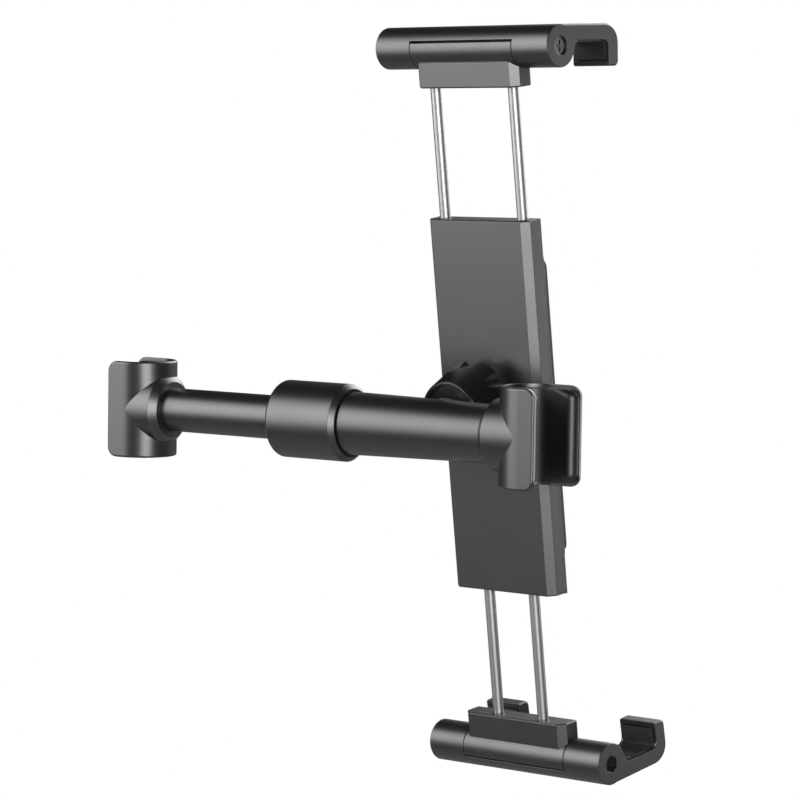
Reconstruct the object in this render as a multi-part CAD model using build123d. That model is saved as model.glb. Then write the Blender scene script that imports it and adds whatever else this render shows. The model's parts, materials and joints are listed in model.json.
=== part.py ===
from build123d import *
from math import cos, sin, radians
import os

# Arm: a telescopic tube with a hook for a headrest post at each end. X runs along it, Z up along the posts.
# The origin is on the axis of the right post, at the height of the tube's axis.
post_spacing = 138.0
hook_outer_radius = 10.4
hook_height = 28.6
hook_wall = 1.4
hook_corner = 3.0
hook_edge = 0.6
near_lip_length = 5.2
far_lip_length = 8.8
liner_thickness = 3.0
liner_recess = 0.2
liner_end_inset = 1.0
liner_mouth_edge = 1.2
hub_radius = 10.3
right_hub_reach = 14.2
left_hub_reach = 11.6
hub_edge = 2.0
tube_radius_at_hub = 8.35
tube_radius_at_sleeve = 9.15
sleeve_gap = 0.4
inner_tube_radius = 6.45
inner_tube_wall = 1.5
inner_tube_embed = 1.7
inner_tube_plug = 14.0
inner_tube_overlap = 38.0
tube_clearance = 0.35
cut_margin = 1.0
stop_ring_width = 4.0
stop_ring_clearance = 0.12

# Twist-lock sleeve and the split collet under it
sleeve_radius = 11.3
sleeve_length = 23.9
sleeve_to_post = 61.75
sleeve_dome = 1.4
sleeve_edge = 1.4
spigot_length = 11.0
spigot_radius = 8.3
thread_clearance = 0.4
collet_length = 6.4
collet_small_radius = 7.25
collet_large_radius = 8.2
collet_fit = 0.04
collet_slot = 1.0

# Ball joint behind the tube. Angles are those in which the bracket is held.
ball_offset_x = -36.15
ball_offset_y = 17.33
ball_offset_z = 2.78
ball_radius = 6.5
ball_fit = 0.05
neck_radius = 3.3
post_boss_radius = 5.4
post_boss_height = 1.2
post_seat_wall = 0.9
post_seat_fit = 0.01
bracket_spin = -2.11
bracket_tilt = 6.5
bracket_pan = -9.26
ball_to_back = 12.5
socket_radius = 8.6
socket_mouth = 2.4
socket_throat = 6.2
socket_flange_radius = 11.6
socket_flange_height = 3.0
socket_slot = 1.2
socket_slot_depth = 6.0
pad_thickness = 1.6
pad_half_angle = 34.0
pad_swing = 24.0
nut_front_radius = 10.8
nut_back_radius = 14.8
nut_front = 5.0
nut_back = 7.6
nut_lip = 1.6
nut_mouth_radius = 5.9
nut_clearance = 0.35
nut_grip_count = 8
nut_grip_radius = 3.4
nut_grip_bite = 2.0
nut_edge = 0.5
nut_collar = 1.8
nut_rim = 0.6
nut_dish = 1.0
socket_screw_radius = 1.1
socket_screw_head_radius = 1.8
socket_screw_head_height = 0.9
socket_screw_length = 5.0
socket_screw_x = 3.8
socket_screw_z = 5.0

# Case of the tablet bracket. In its own frame the ball's middle is the origin and +Y looks at the tablet.
case_height = 110.0
case_width = 38.5
case_depth = 6.8
case_chamfer = 2.15
case_edge = 0.35
case_side_wall = 1.6
case_back_wall = 1.4
cavity_half_height = 43.0
cover_thickness = 1.0
plateau_height = 0.9
plateau_half_height = 43.5
plateau_side_inset = 0.6
pad_height = 1.1
cover_screw_x = 3.0
cover_screw_z = 38.5
cover_screw_radius = 1.0
cover_screw_head_radius = 1.7
cover_screw_head_height = 0.5
cover_post_radius = 2.2

# Rods, springs and stops
rod_radius = 1.6
rod_fit = 0.06
rod_depth = 4.1
upper_rod_x = 14.85
lower_rod_x = 8.65
rod_inner_end = 3.0
rod_embed = 6.6
stop_radius = 2.35
stop_length = 1.6
spring_wire = 0.5
spring_clearance = 0.22
spring_turns = 10
spring_stretches = 8
spring_end_gap = 0.25

# Carriers and jaws
carrier_inner_edge = 93.2
jaw_axis_height = 104.5
jaw_axis_depth = 5.1
jaw_radius = 6.15
jaw_length = 65.6
jaw_end_edge = 0.25
knuckle_gap = 0.3
knuckle_core_radius = 3.7
knuckle_clearance = 0.3
bridge_start_angle = 20.0
bridge_gap_angle = 2.0
bridge_end_angle = 136.0
knuckle_front_angle = 232.0
jaw_arm_width = 13.2
upper_jaw_lean = 5.0
lower_jaw_lean = 3.5
jaw_reach = 25.9
jaw_floor_thickness = 4.6
jaw_lip_thickness = 4.6
jaw_lip_height = 12.2
jaw_outer_corner = 5.5
jaw_inner_corner = 2.2
jaw_web = 1.6
jaw_lip_tip = 1.6
jaw_edge = 0.5
rubber_thickness = 1.3
rubber_side_inset = 0.7
rubber_sink = 0.7
rubber_to_bar = 2.0
hinge_radius = 1.2
hinge_fit = 0.05
hinge_head_radius = 2.5
hinge_head_height = 1.6
hinge_head_clearance = 0.2
hinge_head_sink = 0.5
cross_width = 0.8
cross_reach = 1.7
cross_depth = 0.8
nut_across_flats = 4.2
hinge_nut_height = 2.2
hinge_nut_sink = 2.6

os.makedirs("parts", exist_ok=True)

left_post_x = -post_spacing
sleeve_right = -sleeve_to_post
sleeve_left = sleeve_right - sleeve_length
channel_radius = hook_outer_radius - hook_wall
groove_radius = channel_radius - liner_thickness
tube_bore_radius = inner_tube_radius + tube_clearance
ball_place = Pos(ball_offset_x, ball_offset_y, ball_offset_z)
bracket_place = (
    ball_place
    * Rot(0, bracket_spin, 0)
    * Rot(bracket_tilt, 0, 0)
    * Rot(0, 0, bracket_pan)
)


def bar_x(radius, x_start, x_end):
    """A round bar along X."""
    return Pos((x_start + x_end) / 2, 0, 0) * Rot(0, 90, 0) * Cylinder(radius, abs(x_end - x_start))


def bar_y(radius, y_start, y_end):
    """A round bar along Y."""
    return Pos(0, (y_start + y_end) / 2, 0) * Rot(90, 0, 0) * Cylinder(radius, abs(y_end - y_start))


def box_between(x_start, x_end, y_start, y_end, z_start, z_end):
    """A box given by its six faces."""
    middle = Pos((x_start + x_end) / 2, (y_start + y_end) / 2, (z_start + z_end) / 2)
    return middle * Box(abs(x_end - x_start), abs(y_end - y_start), abs(z_end - z_start))


def spun(points):
    """A solid turned about X from an outline given as (x, radius) corners."""
    outline = make_face(Polyline(*[(x, radius) for x, radius in points], close=True))
    return revolve(outline, Axis.X)


def hook_plan(radius, near_reach, far_reach):
    """A U seen from above, open towards +X: a half-round back and two straight sides of their own lengths."""
    back = Circle(radius) & Pos(-radius / 2, 0) * Rectangle(radius, 2 * radius)
    near = Pos(near_reach / 2, -radius / 2) * Rectangle(near_reach, radius)
    far = Pos(far_reach / 2, radius / 2) * Rectangle(far_reach, radius)
    return back + near + far


def hook_block(plan, height):
    """That U raised to a height, half of it on each side of the arm's axis."""
    return Pos(0, 0, -height / 2) * extrude(plan, height)


def hook_shell(hub_reach):
    """The hook with its hub, opening towards +X, before any bore for a tube."""
    block = hook_block(hook_plan(hook_outer_radius, near_lip_length, far_lip_length), hook_height)
    tips = block.edges().filter_by(Axis.Y)
    block = fillet(tips, hook_corner)
    rims = block.faces().sort_by(Axis.Y)[0].edges() + block.faces().sort_by(Axis.Y)[-1].edges()
    block = fillet(rims, hook_edge)
    hub = bar_x(hub_radius, -hub_reach, 0)
    hub = chamfer(hub.edges().filter_by(GeomType.CIRCLE).sort_by(Axis.X)[0], hub_edge)
    body = block + hub
    reach = 2 * far_lip_length
    channel = hook_block(hook_plan(channel_radius, reach, reach), 2 * hook_height)
    return body - channel


def post_liner():
    """The rubber lining of a hook, a little shorter than the hook all round."""
    near_reach = near_lip_length - liner_recess
    far_reach = far_lip_length - liner_recess
    liner_height = hook_height - 2 * liner_end_inset
    plan = hook_plan(channel_radius, near_reach, far_reach)
    outer = hook_block(plan, liner_height)
    reach = 2 * far_lip_length
    strip = plan - hook_plan(groove_radius, reach, reach)
    near_mouth = strip.vertices().sort_by_distance((near_reach, -groove_radius, 0))[0]
    far_mouth = strip.vertices().sort_by_distance((far_reach, groove_radius, 0))[0]
    strip = fillet([near_mouth, far_mouth], liner_mouth_edge)
    tips = outer.edges().filter_by(Axis.Y)
    return hook_block(strip, liner_height) & fillet(tips, hook_corner - liner_recess)


def make_outer_arm():
    """Right hook, hub and the outer tube, with the spigot that the sleeve turns on."""
    hook = hook_shell(right_hub_reach)
    spigot_end = sleeve_right - spigot_length
    shoulder = sleeve_right + sleeve_gap
    hub_face = -right_hub_reach + hub_edge
    skin = spun([
        (spigot_end, 0),
        (spigot_end, spigot_radius),
        (shoulder, spigot_radius),
        (shoulder, tube_radius_at_sleeve),
        (hub_face, tube_radius_at_hub),
        (hub_face, 0),
    ])
    bore_end = -right_hub_reach - hub_edge
    bore = bar_x(tube_bore_radius, spigot_end - cut_margin, bore_end)
    post_seat = Pos(ball_offset_x, 0, ball_offset_z) * bar_y(
        post_boss_radius + post_seat_fit, tube_bore_radius + post_seat_wall, ball_offset_y
    )
    return (hook + skin) - bore - post_seat


def make_inner_tube():
    """The tube that slides in the outer one. It ends in the left hub."""
    start = left_post_x + left_hub_reach - inner_tube_embed
    end = sleeve_right - spigot_length + inner_tube_overlap
    bore = bar_x(inner_tube_radius - inner_tube_wall, start - cut_margin, end + cut_margin)
    return bar_x(inner_tube_radius, start, end) - bore


def make_stop_ring():
    """A ring round the inner tube's hidden end."""
    end = sleeve_right - spigot_length + inner_tube_overlap
    ring = bar_x(tube_bore_radius - stop_ring_clearance, end - stop_ring_width, end)
    return ring - bar_x(inner_tube_radius, end - 2 * stop_ring_width, end + 1)


def make_left_hook():
    """The left hook: the same hook turned to open towards -X."""
    hook = Pos(left_post_x, 0, 0) * mirror(hook_shell(left_hub_reach), Plane.YZ)
    start = left_post_x + left_hub_reach - inner_tube_embed
    bore = bar_x(inner_tube_radius, start, left_post_x + 2 * left_hub_reach)
    plug = bar_x(inner_tube_radius - inner_tube_wall, start, start + inner_tube_plug)
    return hook - bore + plug


def make_lock_sleeve():
    """The sleeve that is twisted to lock the arm's length. Its bore closes on the collet's cone."""
    bore = spigot_radius + thread_clearance
    cone_start = sleeve_right - spigot_length - thread_clearance
    cone_end = cone_start - collet_length
    cone_large = collet_large_radius + thread_clearance
    cone_small = collet_small_radius + thread_clearance
    skin = bar_x(sleeve_radius, sleeve_left, sleeve_right)
    left_rim = skin.edges().filter_by(GeomType.CIRCLE).sort_by(Axis.X)[0]
    skin = fillet(left_rim, sleeve_dome)
    right_rim = skin.edges().filter_by(GeomType.CIRCLE).sort_by(Axis.X)[-1]
    skin = chamfer(right_rim, sleeve_edge)
    hollow = spun([
        (sleeve_left - 1, 0),
        (sleeve_left - 1, tube_bore_radius),
        (cone_end, tube_bore_radius),
        (cone_end, cone_small),
        (cone_start, cone_large),
        (cone_start, bore),
        (sleeve_right + 1, bore),
        (sleeve_right + 1, 0),
    ])
    return skin - hollow


def make_collet():
    """The split ring that the sleeve squeezes on the inner tube."""
    start = sleeve_right - spigot_length - thread_clearance
    end = start - collet_length + thread_clearance
    ring = spun([
        (end, inner_tube_radius + collet_fit),
        (end, collet_small_radius),
        (start, collet_large_radius),
        (start, inner_tube_radius + collet_fit),
    ])
    slot = box_between(end - 1, start + 1, -collet_slot / 2, collet_slot / 2, 0, 2 * sleeve_radius)
    return ring - slot


def make_ball_stud():
    """The ball on its short post, in a seat on the back of the outer tube."""
    seat = tube_bore_radius + post_seat_wall - ball_offset_y
    ball = Sphere(ball_radius)
    post = bar_y(neck_radius, seat, 0)
    skin_at_ball = tube_radius_at_sleeve - ball_offset_y
    boss = bar_y(post_boss_radius, seat, skin_at_ball + post_boss_height)
    return ball_place * (ball + post + boss)


def ball_cone(half_angle, reach):
    """A cone from the ball's middle towards the case."""
    radius = reach * sin(radians(half_angle)) / cos(radians(half_angle))
    cone = Cone(0, radius, reach, align=(Align.CENTER, Align.CENTER, Align.MIN))
    return Rot(-90, 0, 0) * cone


def make_ball_pad():
    """A friction pad, part of a round shell, behind the ball."""
    shell = Sphere(ball_radius + ball_fit + pad_thickness) - Sphere(ball_radius + ball_fit)
    return bracket_place * (shell & ball_cone(pad_half_angle, 3 * ball_radius))


def make_ball_socket():
    """The slotted cup that holds the ball, on a flange against the case."""
    flange = bar_y(socket_flange_radius, ball_to_back - socket_flange_height, ball_to_back)
    cup = bar_y(socket_radius, -socket_mouth, ball_to_back)
    body = flange + cup - Sphere(ball_radius + ball_fit)
    pocket = Sphere(ball_radius + pad_thickness + 2 * ball_fit)
    body = body - (pocket & ball_cone(pad_half_angle + pad_swing, 3 * ball_radius))
    body = body - bar_y(socket_throat, -2 * ball_radius, 0)
    slot = box_between(
        -2 * socket_radius, 2 * socket_radius, -socket_mouth - 1, socket_slot_depth - socket_mouth,
        -socket_slot / 2, socket_slot / 2,
    )
    body = body - slot - Rot(0, 90, 0) * slot
    for place in socket_screw_places():
        hole = bar_y(socket_screw_radius, ball_to_back - socket_screw_length, ball_to_back + 1)
        body = body - place * hole
    return bracket_place * body


def socket_screw_places():
    """Where the four screws go through the case's back into the socket."""
    return [
        Pos(side * socket_screw_x, 0, row * socket_screw_z)
        for side in (-1, 1)
        for row in (-1, 1)
    ]


def make_socket_screws():
    """The screws that hold the socket, with their heads inside the case."""
    head_start = ball_to_back + case_back_wall
    screws = []
    for place in socket_screw_places():
        shank = bar_y(socket_screw_radius, head_start - socket_screw_length, head_start)
        head = bar_y(socket_screw_head_radius, head_start, head_start + socket_screw_head_height)
        screws.append(bracket_place * place * (shank + head))
    return Compound(children=screws)


def make_ball_nut():
    """The lobed ring that is turned to tighten the ball joint. It widens towards the case."""
    outline = Polyline(
        (-nut_front, 0),
        (-nut_front, nut_front_radius - nut_edge),
        (nut_edge - nut_front, nut_front_radius),
        (nut_back - nut_edge, nut_back_radius),
        (nut_back, nut_back_radius - nut_edge),
        (nut_back, 0),
        close=True,
    )
    body = Rot(0, 0, 90) * revolve(make_face(outline), Axis.X)
    for step in range(nut_grip_count):
        reach = nut_back_radius + nut_grip_radius - nut_grip_bite
        groove = Pos(reach, 0, 0) * bar_y(nut_grip_radius, nut_collar - nut_front, 2 * nut_back)
        body = body - Rot(0, 360 / nut_grip_count * step, 0) * groove
    dish_radius = nut_front_radius - nut_edge - nut_rim
    body = body - bar_y(dish_radius, -nut_front - cut_margin, nut_dish - nut_front)
    body = body - bar_y(socket_radius + nut_clearance, -nut_front + nut_lip, nut_back + 1)
    body = body - bar_y(nut_mouth_radius, -nut_front - 1, nut_back)
    return bracket_place * body


def case_section(depth):
    """The outline across the case, with its two rear edges cut off at 45 degrees."""
    half = case_width / 2
    corners = [
        (half - case_chamfer, 0),
        (half, case_chamfer),
        (half, depth),
        (-half, depth),
        (-half, case_chamfer),
        (-half + case_chamfer, 0),
    ]
    return make_face(Polyline(*corners, close=True))


def case_bar(z_start, z_end, depth):
    """A length of the case's section, with its back face at the case's back."""
    bar = extrude(case_section(depth), z_end - z_start)
    ends = bar.edges().filter_by(Axis.Z, reverse=True).sort_by(Axis.Y)[:-2]
    bar = chamfer(ends, case_edge)
    return Pos(0, ball_to_back, z_start) * bar


def rod_bar(x, z_start, z_end, radius):
    """A round bar along Z on a rod's axis."""
    middle = Pos(x, ball_to_back + rod_depth, (z_start + z_end) / 2)
    return middle * Cylinder(radius, abs(z_end - z_start))


def cover_screw_places():
    """Where the cover's screws are."""
    return [
        Pos(side * cover_screw_x, 0, row * cover_screw_z)
        for side in (-1, 1)
        for row in (-1, 1)
    ]


def make_rear_case():
    """The rear case, open to the front, with guide blocks for the rods at its ends."""
    back = ball_to_back
    shell_depth = case_depth - cover_thickness
    body = case_bar(-case_height / 2, case_height / 2, shell_depth)
    cavity_half_width = case_width / 2 - case_side_wall
    cavity = box_between(
        -cavity_half_width, cavity_half_width, back + case_back_wall, back + case_depth,
        -cavity_half_height, cavity_half_height,
    )
    body = body - cavity
    for place in cover_screw_places():
        post = bar_y(cover_post_radius, back + case_back_wall / 2, back + shell_depth)
        body = body + place * post
        hole = bar_y(cover_screw_radius, back + case_back_wall, back + case_depth)
        body = body - place * hole
    for place in socket_screw_places():
        hole = bar_y(socket_screw_radius, back - 1, back + case_back_wall + 1)
        body = body - place * hole
    for side in (-1, 1):
        bore = rod_radius + rod_fit
        body = body - rod_bar(side * upper_rod_x, 0, case_height, bore)
        body = body - rod_bar(side * lower_rod_x, -case_height, 0, bore)
    return bracket_place * body


def make_front_cover():
    """The front cover, with a raised field that the grip pad is glued on."""
    back = ball_to_back
    joint = back + case_depth - cover_thickness
    half = case_width / 2
    plate = box_between(-half, half, joint, back + case_depth, -case_height / 2, case_height / 2)
    field_half = half - plateau_side_inset
    field = box_between(
        -field_half, field_half, back + case_depth, back + case_depth + plateau_height,
        -plateau_half_height, plateau_half_height,
    )
    body = plate + field
    hollow_half = half - case_side_wall
    hollow = box_between(
        -hollow_half, hollow_half, joint - 1, back + case_depth,
        -cavity_half_height, cavity_half_height,
    )
    body = body - hollow
    for place in cover_screw_places():
        post = bar_y(cover_post_radius, joint, back + case_depth + plateau_height / 2)
        body = body + place * post
        head_start = back + case_depth + plateau_height - cover_screw_head_height
        hole = bar_y(cover_screw_radius, joint - 1, back + 2 * case_depth)
        sink = bar_y(cover_screw_head_radius, head_start, back + 2 * case_depth)
        body = body - place * hole - place * sink
    return bracket_place * body


def make_cover_screws():
    """The cover's screws, under the pad."""
    head_start = ball_to_back + case_depth + plateau_height - cover_screw_head_height
    shank_end = ball_to_back + case_back_wall
    screws = []
    for place in cover_screw_places():
        shank = bar_y(cover_screw_radius, shank_end, head_start)
        head = bar_y(cover_screw_head_radius, head_start, head_start + cover_screw_head_height)
        screws.append(bracket_place * place * (shank + head))
    return Compound(children=screws)


def make_front_pad():
    """The soft pad that the tablet leans on."""
    start = ball_to_back + case_depth + plateau_height
    half = case_width / 2 - plateau_side_inset
    pad = box_between(-half, half, start, start + pad_height, -plateau_half_height, plateau_half_height)
    return bracket_place * pad


def make_rods(x):
    """A pair of rods above the middle."""
    end = carrier_inner_edge + rod_embed
    return [rod_bar(side * x, rod_inner_end, end, rod_radius) for side in (-1, 1)]


def make_stops(x):
    """A stop on each rod's inner end."""
    stops = []
    for side in (-1, 1):
        ring = rod_bar(side * x, rod_inner_end, rod_inner_end + stop_length, stop_radius)
        stops.append(ring - rod_bar(side * x, 0, case_height, rod_radius))
    return stops


def make_springs(x):
    """A coil round each rod, between its stop and the end of the case's hollow, in straight stretches."""
    start = rod_inner_end + stop_length + spring_wire / 2 + spring_end_gap
    end = cavity_half_height - spring_wire / 2 - spring_end_gap
    coil_radius = rod_radius + spring_clearance + spring_wire
    steps = spring_turns * spring_stretches
    corners = []
    for step in range(steps + 1):
        angle = radians(360 * step / spring_stretches)
        rise = (end - start) * step / steps
        corners.append((coil_radius * cos(angle), coil_radius * sin(angle), start + rise))
    path = Polyline(*corners)
    section = (path ^ 0) * Rectangle(spring_wire, spring_wire)
    coil = sweep(section, path=path, transition=Transition.RIGHT)
    return [Pos(side * x, ball_to_back + rod_depth, 0) * coil for side in (-1, 1)]


def jaw_place(lean=0):
    """The jaw's axis in the bracket's frame, for the upper jaw, turned inwards by its lean."""
    return Pos(0, ball_to_back + jaw_axis_depth, jaw_axis_height) * Rot(-lean, 0, 0)


def sector(radius, angle_start, angle_end, width):
    """A wedge of a bar along X. Angles run from the back (-Y) by way of +Z."""
    steps = 12
    corners = [(0, 0)]
    for step in range(steps + 1):
        angle = radians(angle_start + (angle_end - angle_start) * step / steps)
        corners.append((-radius * cos(angle), radius * sin(angle)))
    face = Plane.YZ * make_face(Polyline(*corners, close=True))
    return Pos(-width / 2, 0, 0) * extrude(face, width)


def make_carrier():
    """The block on the ends of two rods, with the knuckle that carries the upper jaw."""
    inner = carrier_inner_edge
    top = jaw_axis_height - knuckle_core_radius
    block = case_bar(inner, top, case_depth)
    knuckle_width = case_width
    core = bar_x(knuckle_core_radius, -knuckle_width / 2, knuckle_width / 2)
    full = bar_x(jaw_radius, -knuckle_width / 2, knuckle_width / 2)
    seam_angle = bridge_start_angle - bridge_gap_angle
    wedge = sector(3 * jaw_radius, knuckle_front_angle, 360 + seam_angle, 2 * knuckle_width)
    knuckle = core + (full & wedge)
    body = block + jaw_place() * knuckle
    swing = sector(3 * jaw_radius, seam_angle, knuckle_front_angle, 2 * knuckle_width)
    ring = bar_x(jaw_radius + knuckle_clearance, -knuckle_width, knuckle_width) & swing
    ring = ring - bar_x(knuckle_core_radius, -knuckle_width, knuckle_width)
    body = body - jaw_place() * ring
    return body - jaw_place() * bar_x(hinge_radius + hinge_fit, -case_width, case_width)


def jaw_profile():
    """The J of a jaw's arm, seen from the side: a floor that leaves the axis and a lip that turns back."""
    floor_inner = jaw_radius - jaw_floor_thickness
    lip_inner = jaw_reach - jaw_lip_thickness
    corners = [
        (0, jaw_radius),
        (jaw_reach, jaw_radius),
        (jaw_reach, jaw_radius - jaw_lip_height),
        (lip_inner, jaw_radius - jaw_lip_height),
        (lip_inner, floor_inner),
        (jaw_radius + jaw_web, floor_inner),
        (jaw_radius, floor_inner - jaw_web),
        (0, floor_inner - jaw_web),
    ]
    face = make_face(Polyline(*corners, close=True))
    outer = face.vertices().sort_by(Axis.X)[-2:].sort_by(Axis.Y)[-1]
    face = fillet(outer, jaw_outer_corner)
    inner = face.vertices().sort_by_distance((lip_inner, floor_inner, 0))[0]
    face = fillet(inner, jaw_inner_corner)
    tip = face.vertices().sort_by(Axis.Y)[:2].sort_by(Axis.X)[-1]
    return fillet(tip, jaw_lip_tip)


def jaw_arm():
    """One arm of the jaw, made at the +X end."""
    start = jaw_length / 2 - jaw_arm_width
    face = Plane.YZ * jaw_profile()
    arm = extrude(face, jaw_arm_width)
    side_edges = arm.faces().filter_by(Axis.X).edges()
    outer = [edge for edge in side_edges if edge.center().Y > jaw_reach - jaw_edge]
    top = [edge for edge in side_edges if edge.center().Z > jaw_radius - jaw_edge]
    return Pos(start, 0, 0) * chamfer(outer + top, jaw_edge)


def rubber_cut(extra):
    """The room for the rubber on the inner side of one arm's floor and lip."""
    start = jaw_length / 2 - jaw_arm_width + rubber_side_inset
    end = jaw_length / 2 - rubber_side_inset
    floor_inner = jaw_radius - jaw_floor_thickness
    lip_inner = jaw_reach - jaw_lip_thickness
    lip_end = jaw_radius - jaw_lip_height + jaw_lip_tip
    floor = box_between(
        start, end, jaw_radius + rubber_to_bar, lip_inner + rubber_sink,
        floor_inner - extra, floor_inner + rubber_sink,
    )
    lip = box_between(
        start, end, lip_inner - extra, lip_inner + rubber_sink,
        lip_end, floor_inner + rubber_sink,
    )
    return floor + lip


def make_jaw(head_side, lean):
    """The upper jaw: two round ends joined by a bridge over the knuckle, with an arm at each end."""
    gap_half = case_width / 2 + knuckle_gap
    bar = bar_x(jaw_radius, -jaw_length / 2, jaw_length / 2)
    bar = fillet(bar.edges().filter_by(GeomType.CIRCLE), jaw_end_edge)
    notch = bar_x(2 * jaw_radius, -gap_half, gap_half)
    wedge_width = 2 * (gap_half + cut_margin)
    bridge_wedge = sector(3 * jaw_radius, bridge_start_angle, bridge_end_angle, wedge_width)
    bridge_inner = bar_x(knuckle_core_radius + knuckle_clearance, -jaw_length, jaw_length)
    bridge = (bar & bridge_wedge) - bridge_inner
    body = (bar - notch) + bridge
    arm = jaw_arm() - rubber_cut(rubber_thickness - rubber_sink)
    body = body + arm + mirror(arm, Plane.YZ)
    body = body - bar_x(hinge_radius + hinge_fit, -jaw_length, jaw_length)
    end = head_side * jaw_length / 2
    sink = hinge_head_height + hinge_head_sink
    body = body - bar_x(hinge_head_radius + hinge_head_clearance, end - head_side * sink, end + head_side)
    nut_end = -end
    pocket_flats = nut_across_flats + 2 * hinge_head_clearance
    pocket = hex_bar(pocket_flats, nut_end + head_side * nut_depth(), nut_end - head_side)
    return jaw_place(lean) * (body - pocket)


def nut_depth():
    """How deep the nut's pocket is."""
    return hinge_nut_sink + hinge_nut_height


def hex_bar(across_flats, x_start, x_end):
    """A six-sided bar along X."""
    face = RegularPolygon(across_flats / 2, 6, major_radius=False)
    bar = extrude(face, abs(x_end - x_start))
    return Pos(min(x_start, x_end), 0, 0) * Rot(0, 90, 0) * bar


def make_jaw_rubber(lean):
    """The rubber on both arms of the upper jaw."""
    rubber = rubber_cut(rubber_thickness - rubber_sink)
    return [jaw_place(lean) * rubber, jaw_place(lean) * mirror(rubber, Plane.YZ)]


def make_hinge_screw(head_side, lean):
    """The long screw that the upper jaw turns on, with a cross in its head."""
    head_start = head_side * (jaw_length / 2 - hinge_head_sink - hinge_head_height)
    head_end = head_side * (jaw_length / 2 - hinge_head_sink)
    shank_end = -head_side * (jaw_length / 2 - hinge_nut_sink)
    shank = bar_x(hinge_radius, shank_end, head_start)
    head = bar_x(hinge_head_radius, head_start, head_end)
    bottom = head_end - head_side * cross_depth
    half = cross_width / 2
    slot = box_between(bottom, head_end + head_side, -half, half, -cross_reach, cross_reach)
    head = head - slot - Rot(90, 0, 0) * slot
    return jaw_place(lean) * (shank + head)


def make_hinge_nut(head_side, lean):
    """The nut at the screw's far end."""
    end = -head_side * (jaw_length / 2 - hinge_nut_sink)
    start = end + head_side * hinge_nut_height
    nut = hex_bar(nut_across_flats, start, end) - bar_x(hinge_radius, -jaw_length, jaw_length)
    return jaw_place(lean) * nut


def flipped(shape):
    """The same piece below the middle of the bracket."""
    return mirror(shape, Plane.XY)


def upper(shape):
    """A piece of the upper clamp, or a list of them, put in place."""
    if isinstance(shape, list):
        return Compound(children=[bracket_place * item for item in shape])
    return bracket_place * shape


def lower(shape):
    """A piece of the lower clamp, or a list of them, turned over and put in place."""
    if isinstance(shape, list):
        return Compound(children=[bracket_place * flipped(item) for item in shape])
    return bracket_place * flipped(shape)


right_liner = post_liner()
left_liner = Pos(left_post_x, 0, 0) * mirror(post_liner(), Plane.YZ)

export_step(make_outer_arm(), "parts/outer_arm.step")
export_step(right_liner, "parts/right_liner.step")
export_step(make_lock_sleeve(), "parts/lock_sleeve.step")
export_step(make_collet(), "parts/collet.step")
export_step(make_inner_tube(), "parts/inner_tube.step")
export_step(make_stop_ring(), "parts/stop_ring.step")
export_step(make_left_hook(), "parts/left_hook.step")
export_step(left_liner, "parts/left_liner.step")
export_step(make_ball_stud(), "parts/ball_stud.step")
export_step(make_ball_pad(), "parts/ball_pad.step")
export_step(make_ball_socket(), "parts/ball_socket.step")
export_step(make_socket_screws(), "parts/socket_screws.step")
export_step(make_ball_nut(), "parts/ball_nut.step")
export_step(make_rear_case(), "parts/rear_case.step")
export_step(make_front_cover(), "parts/front_cover.step")
export_step(make_cover_screws(), "parts/cover_screws.step")
export_step(make_front_pad(), "parts/front_pad.step")
export_step(upper(make_rods(upper_rod_x)), "parts/upper_rods.step")
export_step(lower(make_rods(lower_rod_x)), "parts/lower_rods.step")
export_step(upper(make_stops(upper_rod_x)), "parts/upper_stops.step")
export_step(lower(make_stops(lower_rod_x)), "parts/lower_stops.step")
export_step(upper(make_springs(upper_rod_x)), "parts/upper_springs.step")
export_step(lower(make_springs(lower_rod_x)), "parts/lower_springs.step")

upper_carrier = make_carrier()
lower_carrier = make_carrier()
for side in (-1, 1):
    rod_end = carrier_inner_edge + rod_embed
    upper_carrier = upper_carrier - rod_bar(side * upper_rod_x, 0, rod_end, rod_radius)
    lower_carrier = lower_carrier - rod_bar(side * lower_rod_x, 0, rod_end, rod_radius)
export_step(upper(upper_carrier), "parts/upper_carrier.step")
export_step(lower(lower_carrier), "parts/lower_carrier.step")
export_step(upper(make_jaw(1, upper_jaw_lean)), "parts/upper_jaw.step")
export_step(lower(make_jaw(-1, lower_jaw_lean)), "parts/lower_jaw.step")
export_step(upper(make_jaw_rubber(upper_jaw_lean)), "parts/upper_jaw_rubber.step")
export_step(lower(make_jaw_rubber(lower_jaw_lean)), "parts/lower_jaw_rubber.step")
export_step(upper(make_hinge_screw(1, upper_jaw_lean)), "parts/upper_hinge_screw.step")
export_step(lower(make_hinge_screw(-1, lower_jaw_lean)), "parts/lower_hinge_screw.step")
export_step(upper(make_hinge_nut(1, upper_jaw_lean)), "parts/upper_hinge_nut.step")
export_step(lower(make_hinge_nut(-1, lower_jaw_lean)), "parts/lower_hinge_nut.step")
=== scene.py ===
# %% [markdown]
# # Dressing a headrest tablet mount
#
# The mount is a telescopic arm that hooks on the two posts of a car's headrest. A ball joint on the arm
# carries a bracket whose two sprung jaws hold a tablet. All the rigid pieces are already modelled in CAD, so
# this lesson is about what CAD leaves out: the light, the finish of each surface and the soft rubber parts.
#
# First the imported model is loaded. It is a fixed frame in metres. Where a piece goes and how it turns is read
# from the frame's boxes and joints, and only the sizes of the new pieces are typed here, in millimetres.

# %% The frame
import json
from math import cos, pi, radians, sin

import bmesh
import bpy
from mathutils import Matrix, Quaternion, Vector


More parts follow.
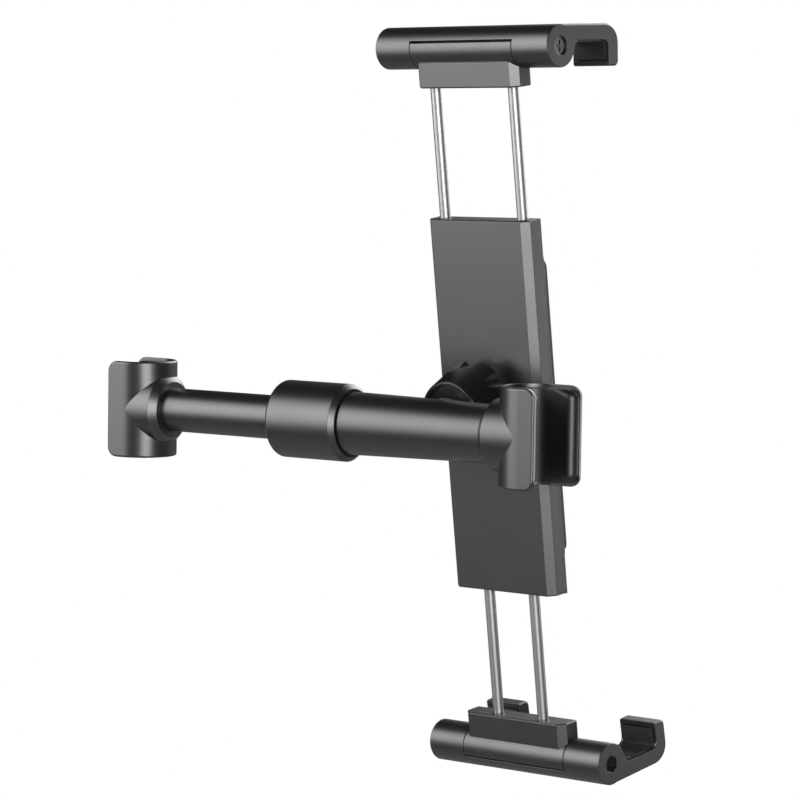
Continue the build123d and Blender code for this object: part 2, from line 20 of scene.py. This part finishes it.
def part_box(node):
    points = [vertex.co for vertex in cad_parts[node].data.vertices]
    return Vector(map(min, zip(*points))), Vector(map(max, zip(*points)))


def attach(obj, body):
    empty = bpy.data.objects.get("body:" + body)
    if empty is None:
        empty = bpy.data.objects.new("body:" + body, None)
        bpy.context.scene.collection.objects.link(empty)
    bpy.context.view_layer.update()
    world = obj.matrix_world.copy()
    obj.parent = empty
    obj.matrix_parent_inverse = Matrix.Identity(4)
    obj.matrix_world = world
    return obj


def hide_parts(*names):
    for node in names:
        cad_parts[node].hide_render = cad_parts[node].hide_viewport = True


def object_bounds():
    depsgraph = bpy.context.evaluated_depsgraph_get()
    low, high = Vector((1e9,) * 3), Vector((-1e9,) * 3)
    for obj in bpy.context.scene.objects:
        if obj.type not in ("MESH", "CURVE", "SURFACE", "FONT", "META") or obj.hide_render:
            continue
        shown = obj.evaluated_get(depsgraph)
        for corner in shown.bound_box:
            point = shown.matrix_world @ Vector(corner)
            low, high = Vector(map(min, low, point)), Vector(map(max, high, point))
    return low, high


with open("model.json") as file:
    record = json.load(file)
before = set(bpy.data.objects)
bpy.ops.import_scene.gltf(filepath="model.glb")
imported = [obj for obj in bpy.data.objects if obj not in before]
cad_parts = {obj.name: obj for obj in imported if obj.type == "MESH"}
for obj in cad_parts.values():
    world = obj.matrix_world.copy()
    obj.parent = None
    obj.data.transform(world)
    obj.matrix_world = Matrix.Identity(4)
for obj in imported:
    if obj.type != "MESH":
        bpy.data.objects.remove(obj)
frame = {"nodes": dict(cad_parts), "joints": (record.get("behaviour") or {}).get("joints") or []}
nodes = frame["nodes"]
joints = {joint["name"]: joint for joint in frame["joints"]}
cad_box = [list(corner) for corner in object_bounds()]
mm = 0.001

# %% [markdown]
# The picture was taken from behind the arm, a little above it, through a long lens: parallel edges hardly
# converge. A camera like that is easiest to describe by the point that it looks at, two angles and a distance,
# and one small helper turns angles into a direction. The same helper places the lamps later.

# %% The camera
scene = bpy.context.scene
camera_aim = Vector((-45.55, -0.215, 7.7)) * mm
camera_azimuth = -56.805
camera_elevation = 4.882
camera_roll = 0.881
camera_distance = 1046.8 * mm
camera_lens = 164.7


def direction(azimuth, elevation):
    """The unit vector that points at an azimuth and an elevation, in degrees."""
    turn, rise = radians(azimuth), radians(elevation)
    return Vector((cos(turn) * cos(rise), sin(turn) * cos(rise), sin(rise)))


def stand(thing, target, azimuth, elevation, distance, roll=0.0):
    """Puts a camera or lamp around a target and aims it."""
    towards = direction(azimuth, elevation)
    thing.location = target + distance * towards
    level = towards.to_track_quat("Z", "Y")
    thing.rotation_euler = (level @ Quaternion((0, 0, 1), radians(roll))).to_euler()
    scene.collection.objects.link(thing)
    return thing


camera = bpy.data.objects.new("camera", bpy.data.cameras.new("camera"))
camera.data.lens = camera_lens
camera.data.clip_end = 20
scene.camera = stand(camera, camera_aim, camera_azimuth, camera_elevation, camera_distance, camera_roll)
print("camera at", [round(value, 3) for value in camera.location])

# %% [markdown]
# Shader nodes are much easier to read as sums than as a list of nodes and links. `Wire` wraps one output
# socket, and Python's own operators add the Math nodes. Any other node comes from `Shader.node`, which takes
# the node's type, its settings and what goes into its sockets. Noise and a blend of two colours are needed so
# often that they get a short form.

# %% Nodes as expressions
class Wire:
    """A value on its way through a node tree. Operators on it add Math nodes."""

    def __init__(self, shader, socket):
        self.shader = shader
        self.socket = socket

    def maths(self, operation, *values):
        return self.shader.node("Math", {"operation": operation}, dict(enumerate(values)))

    def __add__(self, other):
        return self.maths("ADD", self, other)

    def __sub__(self, other):
        return self.maths("SUBTRACT", self, other)

    def __rsub__(self, other):
        return self.maths("SUBTRACT", other, self)

    def __mul__(self, other):
        return self.maths("MULTIPLY", self, other)

    def clipped(self):
        """The value kept between 0 and 1."""
        return self.maths("MINIMUM", self.maths("MAXIMUM", self, 0.0), 1.0)

    __radd__ = __add__
    __rmul__ = __mul__


class Shader:
    """The node tree of a material, a lamp or the world."""

    def __init__(self, owner):
        owner.use_nodes = True
        self.tree = owner.node_tree
        self.tree.nodes.clear()

    def node(self, kind, settings=None, inputs=None, output=0):
        """Adds a node and returns one of its outputs."""
        made = self.tree.nodes.new("ShaderNode" + kind)
        for name, value in (settings or {}).items():
            setattr(made, name, value)
        for name, value in (inputs or {}).items():
            if isinstance(value, Wire):
                self.tree.links.new(value.socket, made.inputs[name])
            else:
                made.inputs[name].default_value = value
        return Wire(self, made.outputs[output]) if made.outputs else None

    def noise(self, place, size, detail):
        """Noise whose features are about this size."""
        return self.node("TexNoise", inputs={"Vector": place, "Scale": 1 / size, "Detail": detail})

    def blend(self, factor, first, second):
        """A colour that goes from the first to the second."""
        ends = {"Factor": factor, "A": first, "B": second}
        return self.node("Mix", {"data_type": "RGBA"}, ends, output="Result")


# %% [markdown]
# The background of the picture is plain white, but black plastic would turn grey if it mirrored white all round.
# So the world has three levels: white where the camera sees it, a low even light for surfaces, and in reflections
# dark above and pale below, as in a studio with a pale table. The floor lies below the picture's edge, as the
# mount hangs in the air. It looks white too, but part of it is a real pale surface, so it keeps a soft shadow.

# %% World and floor
ambient_level = 0.25
mirrored_dark = 0.015
mirrored_pale = 0.62
pale_below = -0.12
pale_slope = 6
floor_drop = 0.6
floor_radius = 2.0
floor_grey = 0.35
floor_whiteness = 0.7
white = (1, 1, 1, 1)


def shown(shader):
    """1 for what the camera sees straight, in a reflection or through glass, and 0 for other light."""
    rays = [shader.node("LightPath", output=name) for name in
            ("Is Camera Ray", "Is Glossy Ray", "Is Transmission Ray")]
    return (rays[0] + rays[1] + rays[2]).clipped()


def dress_world():
    """White where it is seen, dark over pale where it is mirrored, low and even where it gives light."""
    world = bpy.data.worlds.new("studio")
    scene.world = world
    shader = Shader(world)
    towards = shader.node("TexCoord", output="Generated")
    height = shader.node("SeparateXYZ", inputs={"Vector": towards}, output="Z")
    below = ((pale_below - height) * pale_slope).clipped()
    mirrored = shader.node("LightPath", output="Is Glossy Ray")
    level = 1 - mirrored * (1 - (mirrored_dark + mirrored_pale * below))
    backdrop = shader.node("Background", inputs={"Color": white, "Strength": level})
    glow = shader.node("Background", inputs={"Color": white, "Strength": ambient_level})
    mixed = shader.node("MixShader", inputs={"Fac": shown(shader), 1: glow, 2: backdrop})
    shader.node("OutputWorld", inputs={"Surface": mixed})


def make_floor():
    """A round pale floor under the mount, which turns white towards its rim."""
    shape = bmesh.new()
    bmesh.ops.create_circle(shape, cap_ends=True, radius=floor_radius, segments=64)
    middle = Vector((camera_aim.x, camera_aim.y, cad_box[0][2] - floor_drop))
    bmesh.ops.translate(shape, vec=middle, verts=shape.verts)
    mesh = bpy.data.meshes.new("floor")
    shape.to_mesh(mesh)
    shape.free()
    floor = bpy.data.objects.new("floor", mesh)
    scene.collection.objects.link(floor)
    paint = bpy.data.materials.new("floor_white")
    shader = Shader(paint)
    pale = shader.node("BsdfDiffuse", inputs={"Color": (floor_grey, floor_grey, floor_grey, 1)})
    bright = shader.node("Emission", inputs={"Color": white, "Strength": 1.0})
    place = shader.node("TexCoord", output="Object")
    reach = shader.node("VectorMath", {"operation": "DISTANCE"}, {0: place, 1: middle}, output="Value")
    towards_rim = (reach * (1 / floor_radius)).clipped()
    seen = shader.node("LightPath", output="Is Camera Ray")
    share = seen * (floor_whiteness + (1 - floor_whiteness) * towards_rim)
    mixed = shader.node("MixShader", inputs={"Fac": share, 1: pale, 2: bright})
    shader.node("OutputMaterial", inputs={"Surface": mixed})
    mesh.materials.append(paint)
    return middle.z


dress_world()
print("floor at z =", round(make_floor(), 4))

# %% [markdown]
# Black plastic is drawn by its reflections. One large softbox stands to the left of the camera, where the flat
# faces of the hooks and the case mirror it. A second one, near the camera, gives the slanted edges of the case and
# the carriers their light line. A narrow strip close to the right hook shines almost straight ahead and draws the
# rim of the hook's far lip. The last and largest lights the front, which the picture doesn't show. Every box fades
# towards its rim, so that no hard rectangle shows in the gloss.

# %% Softboxes
scene.view_settings.view_transform = "Standard"


def softbox(name, azimuth, elevation, distance, width, height, radiance, target=camera_aim, spread=180):
    """A rectangular lamp, given by how bright its middle looks, that fades to nothing at its rim."""
    lamp = bpy.data.lights.new(name, "AREA")
    lamp.shape = "RECTANGLE"
    lamp.size = width
    lamp.size_y = height
    lamp.spread = radians(spread)
    lamp.energy = radiance * pi * width * height
    shader = Shader(lamp)
    place = shader.node("NewGeometry", output="Parametric")
    across = shader.node("SeparateXYZ", inputs={"Vector": place}, output="X")
    up = shader.node("SeparateXYZ", inputs={"Vector": place}, output="Y")
    fade = (8 * across * (1 - across)).clipped() * 4 * up * (1 - up)
    glow = shader.node("Emission", inputs={"Color": white, "Strength": fade})
    shader.node("OutputLight", inputs={"Surface": glow})
    box = bpy.data.objects.new(name, lamp)
    box.visible_camera = False
    return stand(box, target, azimuth, elevation, distance)


right_hook = Vector((5, -10, 0)) * mm
softbox("key_softbox", azimuth=-134, elevation=18.5, distance=0.9, width=0.9, height=1.16, radiance=5.2)
softbox("camera_softbox", azimuth=-44, elevation=6.5, distance=1.0, width=0.64, height=0.86, radiance=10.5)
softbox("edge_softbox", azimuth=54.5, elevation=-2, distance=0.26, width=0.12, height=0.3, radiance=0.16,
        target=right_hook, spread=24)
softbox("far_softbox", azimuth=84, elevation=27, distance=1.1, width=1.5, height=1.2, radiance=4.6)
print("lamps:", [lamp.name for lamp in bpy.data.lights])

# %% [markdown]
# Moulded plastic is never one flat value. The mould's fine spark texture breaks up the gloss, the colour drifts
# a little, and handling polishes it in patches. All three come from noise on Object coordinates, at scales that
# are set in millimetres. Hands also rub the edges lighter and smoother. A Bevel node finds them: there its rounded
# normal leaves the true one.

# %% Moulded plastic
drift_size = 22 * mm
patch_size = 9 * mm
edge_radius = 0.25 * mm
edge_wear = 6
deep_black = (0.005, 0.005, 0.0052)


def tinted(shade, factor):
    """A shade made darker or lighter, as a colour with its alpha."""
    return tuple(channel * factor for channel in shade) + (1,)


def new_finish(name):
    """A new material, its node tree and the place on the piece that its patterns read."""
    paint = bpy.data.materials.new(name)
    shader = Shader(paint)
    return paint, shader, shader.node("TexCoord", output="Object")


def moulded_plastic(name, shade, roughness, grain_size, grain_depth=0.02 * mm, mirror_level=1.0):
    """Black moulded plastic with a fine grain, a slight drift of colour, polished patches and worn edges."""
    paint, shader, place = new_finish(name)
    drift = shader.noise(place, drift_size, 3.0)
    patches = shader.noise(place, patch_size, 5.0)
    grain = shader.noise(place, grain_size, 2.0)
    softened = shader.node("Bevel", {"samples": 6}, {"Radius": edge_radius}, output="Normal")
    plain = shader.node("NewGeometry", output="Normal")
    facing = shader.node("VectorMath", {"operation": "DOT_PRODUCT"}, {0: softened, 1: plain}, output="Value")
    worn = ((1 - facing) * edge_wear * patches).clipped()
    colour = shader.blend(drift, tinted(shade, 0.9), tinted(shade, 1.1))
    gloss = roughness + 0.08 * (patches - 0.5) + 0.05 * (grain - 0.5) - 0.08 * worn
    bump = shader.node("Bump", inputs={
        "Height": grain, "Normal": softened, "Strength": 0.35, "Distance": grain_depth,
    })
    surface = shader.node("BsdfPrincipled", inputs={
        "Base Color": shader.blend(worn, colour, tinted(shade, 2.5)), "Roughness": gloss, "Normal": bump,
        "Specular IOR Level": mirror_level,
    })
    shader.node("OutputMaterial", inputs={"Surface": surface})
    return paint


arm_plastic = moulded_plastic("arm_plastic_finish", deep_black, roughness=0.34, grain_size=0.35 * mm)
case_plastic = moulded_plastic("case_plastic_finish", deep_black, roughness=0.36, grain_size=0.3 * mm)
inner_plastic = moulded_plastic("inner_plastic_finish", (0.009, 0.009, 0.0095), roughness=0.45, grain_size=0.4 * mm)
nut_plastic = moulded_plastic("nut_plastic_finish", (0.006, 0.006, 0.0062), roughness=0.27, grain_size=0.3 * mm,
                              grain_depth=0.015 * mm, mirror_level=0.7)
print("plastics:", [paint.name for paint in (arm_plastic, case_plastic, inner_plastic, nut_plastic)])

# %% [markdown]
# The liners, the pad and the faces of the jaws are soft black rubber. It mirrors little: a dull gloss, a fine
# pebble in the bump and a blotchy colour are enough. The liners sit deep in the hooks, where shade falls, and look
# nearly black. Theirs is a smoother rubber, and its darker colour is painted shade for the shade in the hooks.

# %% Rubber
pebble_size = 0.45 * mm
pebble_depth = 0.03 * mm
blotch_size = 6 * mm
rubber_mirror_level = 0.6


def soft_rubber(name, shade, roughness):
    """Matt rubber with a fine pebbled skin."""
    paint, shader, place = new_finish(name)
    pebble = shader.node("TexVoronoi", inputs={"Vector": place, "Scale": 1 / pebble_size}, output="Distance")
    blotch = shader.noise(place, blotch_size, 4.0)
    bump = shader.node("Bump", inputs={"Height": pebble, "Strength": 0.3, "Distance": pebble_depth})
    surface = shader.node("BsdfPrincipled", inputs={
        "Base Color": shader.blend(blotch, tinted(shade, 0.8), tinted(shade, 1.25)),
        "Roughness": roughness + 0.1 * (blotch - 0.5), "Normal": bump, "Specular IOR Level": rubber_mirror_level,
    })
    shader.node("OutputMaterial", inputs={"Surface": surface})
    return paint


rubber = soft_rubber("rubber_finish", (0.011, 0.011, 0.0115), roughness=0.5)
# The liners' colour is darker than the other rubber's as painted shade: it stands in for the shade deep in the
# hooks.
painted_shade_liner_rubber = soft_rubber("liner_rubber_finish", (0.002, 0.002, 0.0021), roughness=0.4)
print("rubbers:", [paint.name for paint in (rubber, painted_shade_liner_rubber)])

# %% [markdown]
# The four rods are drawn steel with a satin shine: the light on them is a broad soft line, not a sharp mirror
# image. Drawing leaves hair-fine lines along a rod, which noise gives when it is stretched along it. The rods lean
# a little, so a Mapping node turns the noise to their own direction first. The other screws are plain steel, a
# little uneven, and those in the hinges are blackened.

# %% Metals
line_size = 0.35 * mm
line_depth = 0.01 * mm
haze_size = 5 * mm
along_rods = Vector(joints["upper_clamp_slide"]["axis"]).to_track_quat("Z", "Y").to_euler()


def metal(name, shade, roughness, streak=1):
    """Metal with fine lines along the rods. A streak of 1 has no direction."""
    paint, shader, place = new_finish(name)
    stretched = shader.node("Mapping", {"vector_type": "TEXTURE"}, {
        "Vector": place, "Rotation": along_rods, "Scale": (1, 1, streak),
    })
    lines = shader.noise(stretched, line_size, 3.0)
    haze = shader.noise(place, haze_size, 3.0)
    bump = shader.node("Bump", inputs={"Height": lines, "Strength": 0.12, "Distance": line_depth})
    surface = shader.node("BsdfPrincipled", inputs={
        "Base Color": shader.blend(haze, tinted(shade, 1.0), tinted(shade, 0.86)), "Metallic": 1.0,
        "Roughness": roughness + 0.06 * (lines - 0.5) + 0.05 * (haze - 0.5), "Normal": bump,
    })
    shader.node("OutputMaterial", inputs={"Surface": surface})
    return paint


rod_steel = metal("rod_steel_finish", (0.4, 0.405, 0.415), roughness=0.42, streak=40)
plain_steel = metal("plain_steel_finish", (0.45, 0.45, 0.46), roughness=0.34)
black_steel = metal("black_steel_finish", (0.2, 0.2, 0.205), roughness=0.36)
print("metals:", [paint.name for paint in (rod_steel, plain_steel, black_steel)])

# %% [markdown]
# Every CAD node comes with a material slot that only names what it is made of. A finish takes the place in that
# slot, so no mesh is touched. Two kinds of node differ from the rest of their slot: the screws and nuts of the
# hinges, which are black, and the ball nut, which is smoother than the arm.

# %% Dressing the CAD nodes
finish_of_slot = {
    "arm_plastic": arm_plastic, "sleeve_plastic": arm_plastic, "case_plastic": case_plastic,
    "inner_plastic": inner_plastic, "rubber": rubber, "rod_steel": rod_steel, "steel": plain_steel,
}
for name, node in nodes.items():
    for place in node.material_slots:
        place.material = finish_of_slot[place.material.name.split(".")[0]]
        if "hinge" in name:
            place.material = black_steel
        if name == "ball_nut":
            place.material = nut_plastic
print("finishes:", sorted({finish.name for finish in finish_of_slot.values()}))

# %% [markdown]
# The hooks, the jaws and the front of the case are lined with moulded rubber, and the springs are round wire. In
# CAD these are plain solids, so each gets a piece of its own here. All are built in millimetres in the frame of
# what carries them. One helper scales a finished shape, puts it in place, closes its seams, fixes it to the body
# that carries it and hides the CAD node that it stands for. A second one adds what rubber needs: edges that a
# finger would feel as round.

# %% Helpers for new pieces
seam_width = 0.005 * mm
sharp_angle = radians(40)


def joint_axis(name):
    return Vector(joints[name]["axis"]).normalized()


bracket_axes = Matrix((joint_axis("upper_jaw_fold"), joint_axis("nut_twist"), joint_axis("upper_clamp_slide")))
bracket_axes = bracket_axes.transposed().to_4x4()
bracket_frame = Matrix.Translation(Vector(joints["ball_spin"]["pos_m"])) @ bracket_axes
print("bracket's frame at", [round(value, 4) for value in bracket_frame.translation])


def placed_piece(node, body, shape, frame_of_piece, finish):
    """Places a finished shape and lets it stand for a CAD node."""
    bmesh.ops.transform(shape, matrix=frame_of_piece @ Matrix.Scale(mm, 4), verts=shape.verts)
    bmesh.ops.remove_doubles(shape, verts=shape.verts, dist=seam_width)
    bmesh.ops.recalc_face_normals(shape, faces=shape.faces)
    mesh = bpy.data.meshes.new(node + "_piece")
    shape.to_mesh(mesh)
    shape.free()
    mesh.materials.append(finish)
    mesh.shade_smooth()
    piece = bpy.data.objects.new(node + "_piece", mesh)
    scene.collection.objects.link(piece)
    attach(piece, body)
    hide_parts(node)
    print(piece.name, len(mesh.polygons), "faces")
    return piece


def rubber_piece(node, body, shape, frame_of_piece, edge, finish):
    """A placed piece whose edges are rounded a little, as moulded rubber's are."""
    piece = placed_piece(node, body, shape, frame_of_piece, finish)
    rounding = piece.modifiers.new("rounding", "BEVEL")
    rounding.width = edge * mm
    rounding.segments = 2
    rounding.limit_method = "ANGLE"
    rounding.angle_limit = sharp_angle
    piece.modifiers.new("flat_faces", "WEIGHTED_NORMAL")
    return piece


# %% [markdown]
# A few operators come back in every piece with the same settings. Bevel in a script starts from other values than
# in the editor, so its profile and its material are given each time, and a short helper says so once. A twin is
# the whole shape mirrored, with no vertices joined.

# %% Operators in short
def kind(made, sort):
    """The vertices, edges or faces among what an operator returns."""
    return [item for item in made if isinstance(item, sort)]


def same(first, second):
    """True for two lengths that only rounding errors tell apart."""
    return abs(first - second) < 0.01


def round_off(shape, edges, radius, segments):
    bmesh.ops.bevel(shape, geom=edges, offset=radius, segments=segments, profile=0.5, affect="EDGES", material=-1)


def add_twin(shape):
    """Mirrors the whole shape to the other side of the middle."""
    bmesh.ops.mirror(shape, geom=shape.verts[:] + shape.edges[:] + shape.faces[:], axis="X", merge_dist=-1)


# %% [markdown]
# A hook's liner is a U of thick rubber. Its cross-section, four edges, stands at one mouth of the U. It is drawn
# out along the first side, spun half a turn round the post and drawn out along the second, and both ends are
# filled. Many small steps keep the wall that hugs the post smooth. Then the tips get round corners, as the hook's
# lips have, and the mouth a wide soft edge that lets the post slip in.

# %% Hook liners
liner_inner = 6.0
liner_outer = 9.0
liner_height = 26.6
liner_steps = 48
liner_edge = 0.5
near_mouth = 5.0
far_mouth = 8.6
mouth_corner = 2.8
mouth_edge = 2.5


def drawn_out(shape, edges, way):
    """Extrudes edges and returns the moved ones."""
    made = bmesh.ops.extrude_edge_only(shape, edges=edges)["geom"]
    bmesh.ops.translate(shape, vec=way, verts=kind(made, bmesh.types.BMVert))
    return kind(made, bmesh.types.BMEdge)


def at_mouth(vert):
    """True at the very end of either side of the U."""
    return same(vert.co.x, near_mouth if vert.co.y < 0 else far_mouth)


def in_mouth(edge):
    """True on the inner edge of the mouth, its round corners included."""
    inner = all(same(abs(end.co.y), liner_inner) and end.co.x > 0.5 for end in edge.verts)
    return inner and any(face.normal.x > 0.05 for face in edge.link_faces)


def hook_liner():
    """The U, open towards +X, with the post's axis on Z."""
    shape = bmesh.new()
    thickness = liner_outer - liner_inner
    middle = (liner_outer + liner_inner) / 2
    upright = Matrix(((0, 0, 1, near_mouth), (-thickness, 0, 0, -middle), (0, liner_height, 0, 0), (0, 0, 0, 1)))
    bmesh.ops.create_grid(shape, x_segments=1, y_segments=1, size=0.5, matrix=upright)
    bmesh.ops.delete(shape, geom=shape.faces[:], context="FACES_ONLY")
    section = drawn_out(shape, shape.edges[:], (-near_mouth, 0, 0))
    section += list({end for edge in section for end in edge.verts})
    spun = bmesh.ops.spin(shape, geom=section, cent=(0, 0, 0), axis=(0, 0, 1), angle=-pi, steps=liner_steps)
    drawn_out(shape, kind(spun["geom_last"], bmesh.types.BMEdge), (far_mouth, 0, 0))
    bmesh.ops.holes_fill(shape, edges=[edge for edge in shape.edges if edge.is_boundary], sides=4)
    bmesh.ops.recalc_face_normals(shape, faces=shape.faces)
    ends = [edge for edge in shape.edges if all(at_mouth(end) for end in edge.verts)]
    tips = [edge for edge in ends if same(edge.verts[0].co.z, edge.verts[1].co.z)]
    round_off(shape, tips, mouth_corner, 6)
    round_off(shape, [edge for edge in shape.edges if in_mouth(edge)], mouth_edge, 5)
    return shape


right_post = Matrix.Translation((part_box("right_liner")[0][0] + liner_outer * mm, 0, 0))
left_post = Matrix.Translation((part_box("left_liner")[1][0] - liner_outer * mm, 0, 0))
facing_left = left_post @ Matrix.Diagonal((-1, 1, 1, 1))
rubber_piece("right_liner", "arm", hook_liner(), right_post, liner_edge, painted_shade_liner_rubber)
rubber_piece("left_liner", "sliding_arm", hook_liner(), facing_left, liner_edge, painted_shade_liner_rubber)

# %% [markdown]
# Each arm of a jaw has an L of smooth rubber in a shallow pocket, with a narrow gap all round. The L starts as a
# line of three points. It is divided, drawn out to a strip and given a thickness. Then its inner corner is
# rounded, every other field of the floor is let in as a grip groove, and the mirror operator makes the strip on
# the jaw's other arm.

# %% Jaw rubbers
strip_start = 20.55
strip_width = 11.3
strip_thickness = 1.3
strip_bend = 1.2
strip_edge = 0.35
pocket_floor = 2.25
pocket_lip = 22.0
floor_start = 8.4
floor_fields = 9
lip_end = -4.2
grip_slope = 0.3
grip_depth = 0.22


def jaw_rubber():
    """Both strips, in the frame of the upper jaw, which turns about X."""
    shape = bmesh.new()
    corners = ((floor_start, pocket_floor), (pocket_lip, pocket_floor), (pocket_lip, lip_end))
    spots = [shape.verts.new((strip_start, y, z)) for y, z in corners]
    floor_line = shape.edges.new(spots[:2])
    shape.edges.new(spots[1:])
    bmesh.ops.subdivide_edges(shape, edges=[floor_line], cuts=floor_fields - 1)
    drawn_out(shape, shape.edges[:], (strip_width, 0, 0))
    shape.normal_update()
    turned = [face for face in shape.faces if face.normal.z > 0.5 or face.normal.y > 0.5]
    bmesh.ops.reverse_faces(shape, faces=turned)
    bmesh.ops.solidify(shape, geom=shape.faces[:], thickness=-strip_thickness)
    bmesh.ops.recalc_face_normals(shape, faces=shape.faces)
    inner_y = pocket_lip - strip_thickness
    inner_z = pocket_floor - strip_thickness

    def in_corner(edge):
        return all(same(end.co.y, inner_y) and same(end.co.z, inner_z) for end in edge.verts)

    round_off(shape, [edge for edge in shape.edges if in_corner(edge)], strip_bend, 5)
    fields = [face for face in shape.faces if face.normal.z < -0.99 and face.calc_center_median().y < inner_y - 2]
    fields.sort(key=lambda face: face.calc_center_median().y)
    bmesh.ops.inset_individual(shape, faces=fields[1::2], thickness=grip_slope, depth=-grip_depth,
                               use_even_offset=True)
    add_twin(shape)
    return shape


def jaw_frame(joint, lean, flip):
    """The frame of a jaw at rest. The lower one is the upper one turned over."""
    hinge = Matrix.Translation(Vector(joints[joint]["pos_m"])) @ bracket_axes
    return hinge @ Matrix.Diagonal((1, 1, flip, 1)) @ Matrix.Rotation(-lean, 4, "X")


upper_lean = radians(joints["upper_jaw_fold"]["range_deg"][1])
lower_lean = -radians(joints["lower_jaw_fold"]["range_deg"][0])
upper_hinge = jaw_frame("upper_jaw_fold", upper_lean, 1)
lower_hinge = jaw_frame("lower_jaw_fold", lower_lean, -1)
rubber_piece("upper_jaw_rubber", "upper_jaw_group", jaw_rubber(), upper_hinge, strip_edge, rubber)
rubber_piece("lower_jaw_rubber", "lower_jaw_group", jaw_rubber(), lower_hinge, strip_edge, rubber)

# %% [markdown]
# The tablet leans on a thin pad that is glued to the front of the case. It is a slab with round corners. Insets
# draw its frame and a fine groove, and planes cut the field inside into bars. Each bar is inset on its own
# and raised, which leaves narrow channels between them for the air that a flat tablet would trap.

# %% Front pad
pad_width = 37.3
pad_height = 87.0
pad_back = 20.2
pad_thickness = 1.1
pad_corner = 3.0
pad_edge = 0.15
pad_border = 1.2
groove_slope = 0.25
groove_depth = 0.35
groove_floor = 0.4
pad_bars = 15
bar_gap = 0.45
bar_slope = 0.2
smallest_bar = 30


def front_pad():
    """The slab, in the bracket's frame, with its grip side towards +Y."""
    shape = bmesh.new()
    bmesh.ops.create_cube(shape, size=1.0)
    bmesh.ops.scale(shape, vec=(pad_width, pad_thickness, pad_height), verts=shape.verts)
    bmesh.ops.translate(shape, vec=(0, pad_back + pad_thickness / 2, 0), verts=shape.verts)
    through = [edge for edge in shape.edges if abs(edge.verts[0].co.y - edge.verts[1].co.y) > 0.5]
    round_off(shape, through, pad_corner, 6)
    field = [face for face in shape.faces if face.normal.y > 0.9]
    for width, depth in ((pad_border, 0), (groove_slope, -groove_depth), (groove_floor, 0)):
        bmesh.ops.inset_region(shape, faces=field, thickness=width, depth=depth, use_even_offset=True)
    low = pad_back + pad_thickness - groove_depth

    def bars():
        """The faces of the field, at the groove's depth."""
        flat = [face for face in shape.faces if face.normal.y > 0.9 and face.calc_area() > smallest_bar]
        return [face for face in flat if face.calc_center_median().y < low + 0.01]

    field_height = pad_height - 2 * (pad_border + groove_slope + groove_floor)
    for step in range(1, pad_bars):
        height = (step / pad_bars - 0.5) * field_height
        cut = bars()
        cut += list({edge for face in cut for edge in face.edges})
        bmesh.ops.bisect_plane(shape, geom=cut, plane_co=(0, 0, height), plane_no=(0, 0, 1))
    raised = bars()
    for width, depth in ((bar_gap, 0), (bar_slope, groove_depth)):
        bmesh.ops.inset_individual(shape, faces=raised, thickness=width, depth=depth, use_even_offset=True)
    return shape


rubber_piece("front_pad", "bracket", front_pad(), bracket_frame, pad_edge, rubber)

# %% [markdown]
# Inside the case a spring round each rod pulls the clamps together. In CAD it is a bent square wire, because that
# is quick to make solid. Here it is a round wire: a small circle is spun round the rod, and an offset in each step
# lifts the spin to a helix. The coil leaves as much room above the rod's stop as the clamp can still travel.

# %% Springs
coil_radius = 2.32
coil_wire = 0.25
coil_turns = 10
coil_start = 9.3
coil_end = 42.5
coil_depth = 16.6
wire_sides = 8
turn_steps = 20
upper_rod_x = 14.85
lower_rod_x = 8.65


def rod_springs(rod_x):
    """The two coils of one clamp, in the bracket's frame."""
    shape = bmesh.new()
    on_edge = Matrix.Translation((coil_radius, 0, coil_start)) @ Matrix.Rotation(pi / 2, 4, "X")
    bmesh.ops.create_circle(shape, segments=wire_sides, radius=coil_wire, matrix=on_edge)
    steps = coil_turns * turn_steps
    bmesh.ops.spin(shape, geom=shape.verts[:] + shape.edges[:], cent=(0, 0, 0), axis=(0, 0, 1),
                   dvec=(0, 0, (coil_end - coil_start) / steps), angle=2 * pi * coil_turns, steps=steps)
    bmesh.ops.holes_fill(shape, edges=[edge for edge in shape.edges if edge.is_boundary], sides=wire_sides)
    bmesh.ops.translate(shape, vec=(rod_x, coil_depth, 0), verts=shape.verts)
    add_twin(shape)
    return shape


turned_over = bracket_frame @ Matrix.Diagonal((1, 1, -1, 1))
placed_piece("upper_springs", "bracket", rod_springs(upper_rod_x), bracket_frame, plain_steel)
placed_piece("lower_springs", "bracket", rod_springs(lower_rod_x), turned_over, plain_steel)
